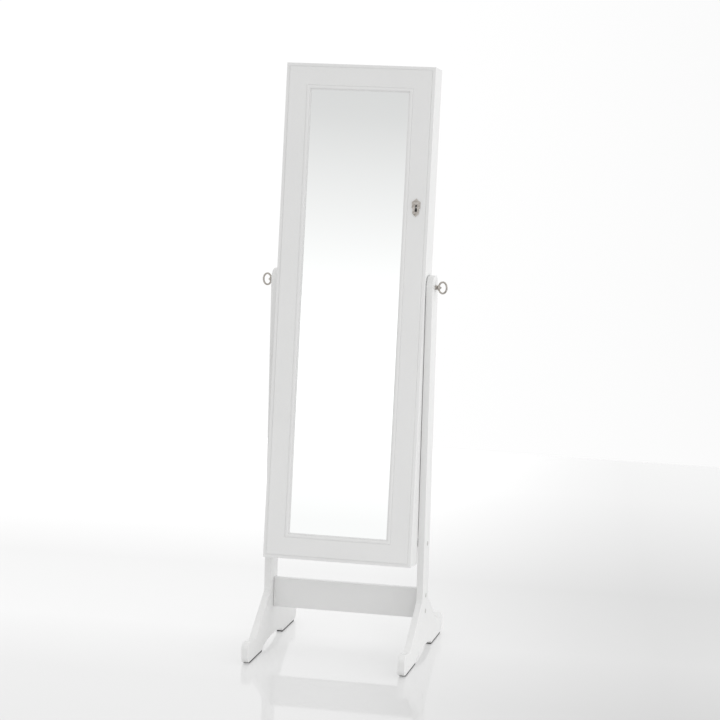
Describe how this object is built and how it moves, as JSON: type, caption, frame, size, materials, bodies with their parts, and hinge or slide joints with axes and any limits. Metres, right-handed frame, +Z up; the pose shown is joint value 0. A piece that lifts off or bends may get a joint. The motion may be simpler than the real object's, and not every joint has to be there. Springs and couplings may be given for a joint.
{
  "type": "cheval mirror jewellery cabinet",
  "caption": "Free-standing cheval mirror whose leaning, lockable mirror door closes a shallow jewellery cabinet hung on clamp bolts between two footed side frames.",
  "frame": {"origin": "on the floor, midway between the side frames and straight below the pivot axis", "axes": "+X to the viewer's right, the mirror faces -Y, +Z up"},
  "size_m": [0.4674, 0.488, 1.4575],
  "materials": {
    "white_paint": "satin white paint on MDF, edges softly rounded",
    "mirror_silver": "polished 4 mm silvered glass",
    "hardboard": "raw brown hardboard",
    "antique_nickel": "antique nickel plate, soft sheen",
    "bright_steel": "zinc-plated steel",
    "brass": "plain brass",
    "black_rubber": "dull black rubber",
    "white_plastic": "moulded white plastic",
    "nylon": "pale grey nylon",
    "black_velvet": "short-pile black velvet"
  },
  "bodies": {
    "stand": {"cross_rail": "white_paint", "foot_glide_front_left": "black_rubber", "foot_glide_front_right": "black_rubber", "foot_glide_rear_left": "black_rubber", "foot_glide_rear_right": "black_rubber", "rail_screw_left_lower": "bright_steel", "rail_screw_left_upper": "bright_steel", "rail_screw_right_lower": "bright_steel", "rail_screw_right_upper": "bright_steel", "side_frame_left": "white_paint", "side_frame_right": "white_paint", "spacer_washer_left": "nylon", "spacer_washer_right": "nylon", "stop_screw_left": "bright_steel", "stop_screw_right": "bright_steel", "tilt_stop_left": "black_rubber", "tilt_stop_right": "black_rubber"},
    "cabinet": {"cabinet_back": "white_paint", "cabinet_bottom": "white_paint", "cabinet_side_left": "white_paint", "cabinet_side_right": "white_paint", "cabinet_top": "white_paint", "divider_shelf": "white_paint", "earring_bar_1": "antique_nickel", "earring_bar_2": "antique_nickel", "earring_bar_3": "antique_nickel", "earring_bracket_left": "white_paint", "earring_bracket_right": "white_paint", "hinge_leaf_cabinet_1": "antique_nickel", "hinge_leaf_cabinet_2": "antique_nickel", "hinge_leaf_cabinet_3": "antique_nickel", "hinge_pin_1": "antique_nickel", "hinge_pin_2": "antique_nickel", "hinge_pin_3": "antique_nickel", "lining_panel": "black_velvet", "lower_shelf": "white_paint", "lower_shelf_lip": "white_paint", "magnet_catch": "white_plastic", "necklace_rail": "white_paint", "pivot_insert_left": "brass", "pivot_insert_right": "brass", "ring_cushion": "black_velvet", "ring_shelf": "white_paint", "ring_shelf_lip": "white_paint", "strike_plate": "bright_steel"},
    "door": {"catch_plate": "bright_steel", "door_rail_bottom": "white_paint", "door_rail_top": "white_paint", "door_stile_left": "white_paint", "door_stile_right": "white_paint", "escutcheon": "antique_nickel", "hinge_leaf_door_1": "antique_nickel", "hinge_leaf_door_2": "antique_nickel", "hinge_leaf_door_3": "antique_nickel", "lock_case": "bright_steel", "mirror_backing": "hardboard", "mirror_glass": "mirror_silver"},
    "lock_bolt": {"lock_bolt": "brass"},
    "ring_bolt_left": {"ring_bolt_left": "antique_nickel"},
    "ring_bolt_right": {"ring_bolt_right": "antique_nickel"}
  },
  "joints": [
    {"name": "cabinet_tilt", "type": "hinge", "parent": "stand", "child": "cabinet", "pos_m": [0, 0, 0.922], "axis": [-1, 0, 0], "range_deg": [-2.36, 12]},
    {"name": "door_hinge", "type": "hinge", "parent": "cabinet", "child": "door", "pos_m": [-0.186, -0.0348, 0.92569], "axis": [0, -0.1056, -0.9944], "range_deg": [0, 90]},
    {"name": "lock_bolt_slide", "type": "slide", "parent": "door", "child": "lock_bolt", "axis": [1, 0, 0], "range_m": [0, 0.008]},
    {"name": "ring_bolt_left_turn", "type": "hinge", "parent": "stand", "child": "ring_bolt_left", "pos_m": [-0.2, 0, 0.922], "axis": [1, 0, 0], "continuous": true},
    {"name": "ring_bolt_right_turn", "type": "hinge", "parent": "stand", "child": "ring_bolt_right", "pos_m": [0.2, 0, 0.922], "axis": [1, 0, 0], "continuous": true}
  ]
}
